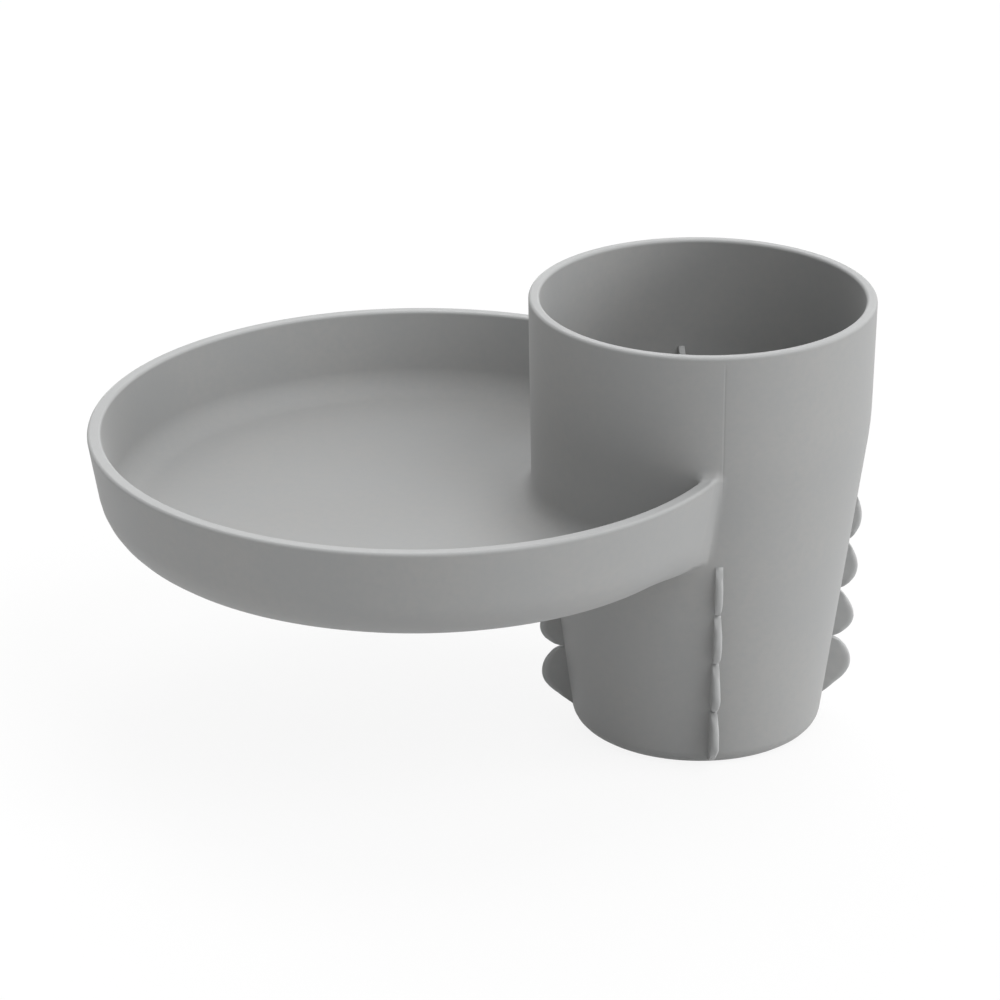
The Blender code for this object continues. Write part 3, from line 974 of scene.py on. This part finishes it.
def lobe_tree():
    """Geometry nodes for one lobe: a rounded section swept along a domed outline.

    The hinge is the Z axis, the blade stands out along +X and the wall lies at -X.
    """
    name = "fin_lobe"
    if name in bpy.data.node_groups:
        return bpy.data.node_groups[name]
    tree = bpy.data.node_groups.new(name, "GeometryNodeTree")
    kinds = {**dict.fromkeys(LOBE_SIZES, "Float"), "Seed": "Int", "Material": "Material"}
    for label, kind in kinds.items():
        tree.interface.new_socket(label, in_out="INPUT", socket_type="NodeSocket" + kind)
    tree.interface.new_socket("Geometry", in_out="OUTPUT", socket_type="NodeSocketGeometry")
    given = add_node(tree, "NodeGroupInput")
    known = {label: given[label] for label in kinds}

    # What the sums start from: a curve's own values, what the mesh reads from both curves, and
    # waves along the edge that differ from lobe to lobe
    known["factor"] = add_node(tree, "GeometryNodeSplineParameter")["Factor"]
    for label, kind in (("place", "GeometryNodeInputPosition"), ("tangent", "GeometryNodeInputTangent")):
        parts = add_node(tree, "ShaderNodeSeparateXYZ", {0: add_node(tree, kind)[0]})
        known[label + " out"] = parts["X"]
        known[label + " up"] = parts["Z"]
    for _, label, _ in PASSED_ON:
        known[label] = add_node(tree, "GeometryNodeInputNamedAttribute", {"Name": label})["Attribute"]
    edge = add_node(tree, "ShaderNodeCombineXYZ", {"X": known["edge out"], "Z": known["edge up"]})[0]
    for label, scale, detail in (("trimming", TRIM_WAVES, 2), ("straying", STRAY_WAVES, 1)):
        known[label] = add_node(
            tree,
            "ShaderNodeTexNoise",
            {"Vector": edge, "W": known["Seed"], "Scale": scale, "Detail": detail},
            noise_dimensions="4D",
        )[0]
    for label, action, *values in LOBE_SUMS:
        inputs = {index: known.get(value, value) for index, value in enumerate(values)}
        if action in ("LINEAR", "SMOOTHSTEP"):
            known[label] = add_node(tree, "ShaderNodeMapRange", inputs, interpolation_type=action)[0]
        else:
            known[label] = add_node(tree, "ShaderNodeMath", inputs, operation=action)[0]

    # The outline and the section, each with what it passes on
    line = add_node(tree, "GeometryNodeCurvePrimitiveLine", {"End": (0, 0, 1)})[0]
    place = add_node(tree, "ShaderNodeCombineXYZ", {"X": known["out"], "Z": known["up"]})[0]
    outline = add_node(tree, "GeometryNodeResampleCurve", {"Curve": line, "Count": OUTLINE_POINTS})[0]
    outline = add_node(tree, "GeometryNodeSetPosition", {"Geometry": outline, "Position": place})[0]
    section = add_node(tree, "GeometryNodeResampleCurve", {"Curve": line, "Count": SECTION_POINTS})[0]
    curves = {"outline": outline, "section": section}
    for curve, label, value in PASSED_ON:
        curves[curve] = add_node(
            tree,
            "GeometryNodeStoreNamedAttribute",
            {"Geometry": curves[curve], "Name": label, "Value": known[value]},
        )[0]
    section = add_node(
        tree, "GeometryNodeSetSplineCyclic", {"Geometry": curves["section"], "Cyclic": True}
    )[0]

    # The swept mesh only joins the points up, and each then goes to its place
    lobe = add_node(
        tree,
        "GeometryNodeCurveToMesh",
        {"Curve": curves["outline"], "Profile Curve": section, "Fill Caps": True},
    )[0]
    place = add_node(tree, "ShaderNodeCombineXYZ", {axis: known[axis] for axis in "XYZ"})[0]
    lobe = add_node(tree, "GeometryNodeSetPosition", {"Geometry": lobe, "Position": place})[0]
    lobe = add_node(
        tree,
        "GeometryNodeStoreNamedAttribute",
        {"Geometry": lobe, "Name": PAINTED_HIGHLIGHT, "Value": known[PAINTED_HIGHLIGHT]},
    )[0]
    for _, label, _ in PASSED_ON:
        lobe = add_node(tree, "GeometryNodeRemoveAttribute", {"Geometry": lobe, "Name": label})[0]
    lobe = add_node(tree, "GeometryNodeSetShadeSmooth", {"Geometry": lobe})[0]
    lobe = add_node(tree, "GeometryNodeRealizeInstances", {"Geometry": lobe})[0]
    lobe = add_node(
        tree, "GeometryNodeSetMaterial", {"Geometry": lobe, "Material": known["Material"]}
    )[0]
    add_node(tree, "NodeGroupOutput", {"Geometry": lobe})
    return tree


def lobe_mesh(name, sizes, material, seed):
    """One lobe about its hinge, from the node tree."""
    tree = lobe_tree()
    obj = shown_in_scene(name, bpy.data.meshes.new(name))
    nodes = obj.modifiers.new("lobe", "NODES")
    nodes.node_group = tree
    values = {**sizes, "Seed": seed, "Material": material}
    for item in tree.interface.items_tree:
        if item.in_out == "INPUT":
            nodes[item.identifier] = values[item.name]
    mesh = evaluated_mesh(obj, name)
    bpy.data.objects.remove(obj, do_unlink=True)

    # The sweep draws the section together at both ends, and faces inwards
    form = bmesh.new()
    form.from_mesh(mesh)
    bmesh.ops.remove_doubles(form, verts=form.verts, dist=SLIVER_EDGE)
    bmesh.ops.recalc_face_normals(form, faces=form.faces)
    form.to_mesh(mesh)
    form.free()
    return mesh


def fin_columns(settings, sizes, columns, inside=False):
    """Every lobe of some columns of fins, each in its place."""
    cup = settings.cup
    dish = settings.dish
    shape = settings.lobe
    material = silicone_material(settings.silicone)
    prefix = "cup_fin" if inside else "grip_fin"
    first_taper = shape.tip_taper if inside else 0.0
    pitch = (sizes.top - sizes.bottom - sizes.lead_in) / LOBES_IN_COLUMN
    wall_line = -(shape.thickness / 2 + shape.gap)
    for row in range(LOBES_IN_COLUMN):
        last = row == LOBES_IN_COLUMN - 1
        high = sizes.top - row * pitch
        low = sizes.bottom if last else high - pitch
        leads_in = last and sizes.lead_in > 0
        foot, head = (
            Vector((float(wall_radius(cup, dish, level)) - (cup.wall if inside else 0), level))
            for level in (low, high)
        )
        lean = math.atan2(head.x - foot.x, head.y - foot.y)
        off_wall = Vector((math.cos(lean), -math.sin(lean))) * (wall_line if inside else -wall_line)
        middle = (foot + head) / 2 + off_wall
        stand = sizes.top_stand + (sizes.low_stand - sizes.top_stand) * row / (LOBES_IN_COLUMN - 1)
        for column in columns:
            azimuth = COLUMNS[column]
            node = f"{prefix}_{column}_{row + 1}"
            span = (head - foot).length - shape.gap
            covered = 0.0
            if not inside:
                # A lobe that the dish covers starts where its solid does
                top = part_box(node)[1].z
                tip = middle.y + span / 2 * math.cos(lean)
                if tip - top > MILLIMETRE:
                    covered = (tip - top) / (span * math.cos(lean))
            values = {
                "Length": span,
                "Covered share": covered,
                "Stand": stand,
                "Crest": shape.lead_in_crest if leads_in else shape.crest,
                "Upper end": shape.round_end,
                "Lower end": shape.slanted_end if leads_in else shape.round_end,
                "Thickness": shape.thickness,
                "Wall line": wall_line,
                "Root line": wall_line - shape.root_depth,
                "Edge round": shape.edge_round,
                "Root flare": shape.root_flare,
                "Upper taper": first_taper if row == 0 else shape.upper_taper,
                "Lower taper": shape.lower_taper,
                "Wander": shape.wander,
                "Trim": shape.trim,
            }
            seed = row * 10 + list(COLUMNS).index(column) + (INNER_SEED if inside else 0)
            mesh = lobe_mesh(node + "_lobe", values, material, seed)
            placed = Matrix.Rotation(azimuth, 4, "Z")
            placed = placed @ Matrix.Translation((middle.x, 0, middle.y))
            placed = placed @ Matrix.Rotation(lean, 4, "Y")
            if inside:
                placed = placed @ Matrix.Rotation(math.pi, 4, "Z")
            mesh.transform(placed)
            piece = shown_in_scene(node + "_lobe", mesh)
            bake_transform(piece)
            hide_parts(node)
            dressed(piece, material)


class TrayBuildMoulding(bpy.types.Operator):
    """Build the cup and the dish as one skin with soft fillets where they meet"""

    bl_idname = "travel_tray.build_moulding"
    bl_label = "Cup and dish"

    def execute(self, context):
        settings = context.scene.travel_tray
        moulding = Moulding(settings)
        mesh = joined_solids(moulding)
        form = bmesh.new()
        form.from_mesh(mesh)
        refine_fillets(form, moulding)
        settle_on_surface(form, moulding)
        mend_slivers(form)
        points = np.array([vert.co for vert in form.verts])
        form.to_mesh(mesh)
        form.free()

        # Each point takes the surface's true slope as its normal
        mesh.shade_smooth()
        slope = moulding.slope(points)
        normals = slope / np.maximum(np.linalg.norm(slope, axis=1), 1e-9)[:, None]
        mesh.normals_split_custom_set_from_vertices(normals.tolist())

        # How far each point counts as the top of a rim, where it gets the painted highlight
        below = np.minimum(
            np.abs(points[:, 2] - settings.cup.height), np.abs(points[:, 2] - settings.dish.rim_height)
        )
        on_top = np.interp(below / settings.detail.rim_round, HIGHLIGHT_BELOW, (1, 0))
        rubbed = on_top * np.interp(normals[:, 2], HIGHLIGHT_UPWARD, (0, 1))
        mesh.attributes.new(PAINTED_HIGHLIGHT, "FLOAT", "POINT").data.foreach_set("value", rubbed.astype(np.float32))
        piece = shown_in_scene("tray_moulding", mesh)
        dressed(piece, silicone_material(settings.silicone))
        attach(piece, "tray")
        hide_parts("cup_shell", "tray_dish")
        return {"FINISHED"}


class TrayBuildGripFins(bpy.types.Operator):
    """Build the outer fins that wedge the cup in a holder"""

    bl_idname = "travel_tray.build_grip_fins"
    bl_label = "Outer fins"

    def execute(self, context):
        settings = context.scene.travel_tray
        fin_columns(settings, settings.grip, ("end", "dish"))
        fin_columns(settings, settings.side_grip, ("back", "front"))
        return {"FINISHED"}


class TrayBuildCupFins(bpy.types.Operator):
    """Build the inner fins that hold a smaller bottle"""

    bl_idname = "travel_tray.build_cup_fins"
    bl_label = "Inner fins"

    def execute(self, context):
        settings = context.scene.travel_tray
        fin_columns(settings, settings.hold, COLUMNS, inside=True)
        return {"FINISHED"}


def seen_share(tree):
    """1 where the camera sees a surface, plainly or by way of a shiny or clear one, and else 0."""
    path = add_node(tree, "ShaderNodeLightPath")
    seen = path["Is Camera Ray"]
    for ray in ("Is Glossy Ray", "Is Transmission Ray"):
        seen = add_node(tree, "ShaderNodeMath", {0: seen, 1: path[ray]}, operation="MAXIMUM")[0]
    return seen


def floor_material(look):
    """Matt white paint on a board: no highlight, and the soft shadow of what stands on it.

    The camera sees part of its own shading over plain white, so that the shadow stays faint. What
    the board throws back on the tray is the stage's floor colour.
    """
    material = bpy.data.materials.new("matt_white_painted_board")
    material.use_nodes = True
    tree = material.node_tree
    tree.nodes.clear()
    white = add_node(tree, "ShaderNodeEmission", {"Color": (1, 1, 1, 1), "Strength": 1.0})["Emission"]
    seen = seen_share(tree)
    whiter = add_node(
        tree, "ShaderNodeMath", {0: seen, 1: 1 - look.shadow}, operation="MULTIPLY"
    )[0]
    paint = add_node(
        tree, "ShaderNodeMix", {"Factor": seen, 6: tuple(look.floor), 7: (1, 1, 1, 1)}, data_type="RGBA"
    )[2]
    board = add_node(
        tree, "ShaderNodeBsdfPrincipled", {"Base Color": paint, "Roughness": 0.9, "IOR": 1.3}
    )["BSDF"]
    shown = add_node(tree, "ShaderNodeMixShader", {"Fac": whiter, 1: board, 2: white})["Shader"]
    add_node(tree, "ShaderNodeOutputMaterial", {"Surface": shown})
    return material


class TrayBuildStage(bpy.types.Operator):
    """Build the floor, the soft light and the camera"""

    bl_idname = "travel_tray.build_stage"
    bl_label = "Floor, light and camera"

    def execute(self, context):
        look = context.scene.travel_tray.stage
        scene = context.scene
        scene.view_settings.view_transform = "Standard"

        mesh = bpy.data.meshes.new("floor")
        signs = ((-1, -1), (1, -1), (1, 1), (-1, 1))
        corners = [(x * FLOOR_REACH, y * FLOOR_REACH, 0) for x, y in signs]
        mesh.from_pydata(corners, [], [(0, 1, 2, 3)])
        mesh.materials.append(floor_material(look))
        shown_in_scene("floor", mesh)

        # A plain sky that lights evenly and looks white
        world = bpy.data.worlds.new("plain_sky")
        world.use_nodes = True
        tree = world.node_tree
        tree.nodes.clear()
        strength = add_node(
            tree, "ShaderNodeMapRange", {"Value": seen_share(tree), "To Min": look.sky, "To Max": 1.0}
        )["Result"]
        sky = add_node(tree, "ShaderNodeBackground", {"Color": (1, 1, 1, 1), "Strength": strength})
        add_node(tree, "ShaderNodeOutputWorld", {"Surface": sky["Background"]})
        scene.world = world

        # Each lamp: its name, strength, softness, and where it stands by azimuth and height
        lamps = (
            ("side", look.side, 30, -10, 15),
            ("key", look.key, 40, -45, 50),
            ("back", look.back, 60, 90, 35),
            ("top", look.top, 30, 60, 78),
        )
        for name, strength, softness, azimuth, height in lamps:
            lamp = bpy.data.lights.new(name, "SUN")
            lamp.energy = strength
            lamp.angle = math.radians(softness)
            obj = bpy.data.objects.new(name, lamp)
            obj.rotation_euler = (0, math.radians(90 - height), math.radians(azimuth))
            scene.collection.objects.link(obj)

        camera = bpy.data.cameras.new("camera")
        camera.sensor_width = SENSOR_WIDTH
        camera.lens = CAMERA_LENS
        obj = bpy.data.objects.new("camera", camera)
        obj.location = CAMERA_PLACE
        obj.rotation_euler = (CAMERA_TILT, 0, CAMERA_TURN)
        camera.clip_start = 0.1
        camera.clip_end = 50
        scene.collection.objects.link(obj)
        scene.camera = obj
        return {"FINISHED"}


class TrayPanel(bpy.types.Panel):
    """The tray's pieces and sizes in the sidebar"""

    bl_idname = "VIEW3D_PT_travel_tray"
    bl_label = "Travel tray"
    bl_space_type = "VIEW_3D"
    bl_region_type = "UI"
    bl_category = "Travel tray"

    def draw(self, context):
        settings = context.scene.travel_tray
        for operator in OPERATORS:
            self.layout.operator(operator.bl_idname)
        for group in type(settings).__annotations__:
            box = self.layout.box()
            box.label(text=settings.bl_rna.properties[group].name)
            part = getattr(settings, group)
            for name in type(part).__annotations__:
                box.prop(part, name)


OPERATORS = (TrayBuildMoulding, TrayBuildGripFins, TrayBuildCupFins, TrayBuildStage)
CLASSES = (
    TrayCupSizes,
    TrayDishSizes,
    TrayDetailSizes,
    TrayGripFinSizes,
    TraySideGripFinSizes,
    TrayCupFinSizes,
    TrayLobeShape,
    TraySiliconeLook,
    TrayStageLook,
    TraySettings,
    *OPERATORS,
    TrayPanel,
)


def register():
    for cls in CLASSES:
        bpy.utils.register_class(cls)
    bpy.types.Scene.travel_tray = bpy.props.PointerProperty(
        type=TraySettings, name="Travel tray", description="Sizes and colours of the tray"
    )


def unregister():
    del bpy.types.Scene.travel_tray
    for cls in reversed(CLASSES):
        bpy.utils.unregister_class(cls)


def main():
    register()
    bpy.ops.travel_tray.build_moulding()
    bpy.ops.travel_tray.build_grip_fins()
    bpy.ops.travel_tray.build_cup_fins()
    bpy.ops.travel_tray.build_stage()


if __name__ == "__main__":
    main()
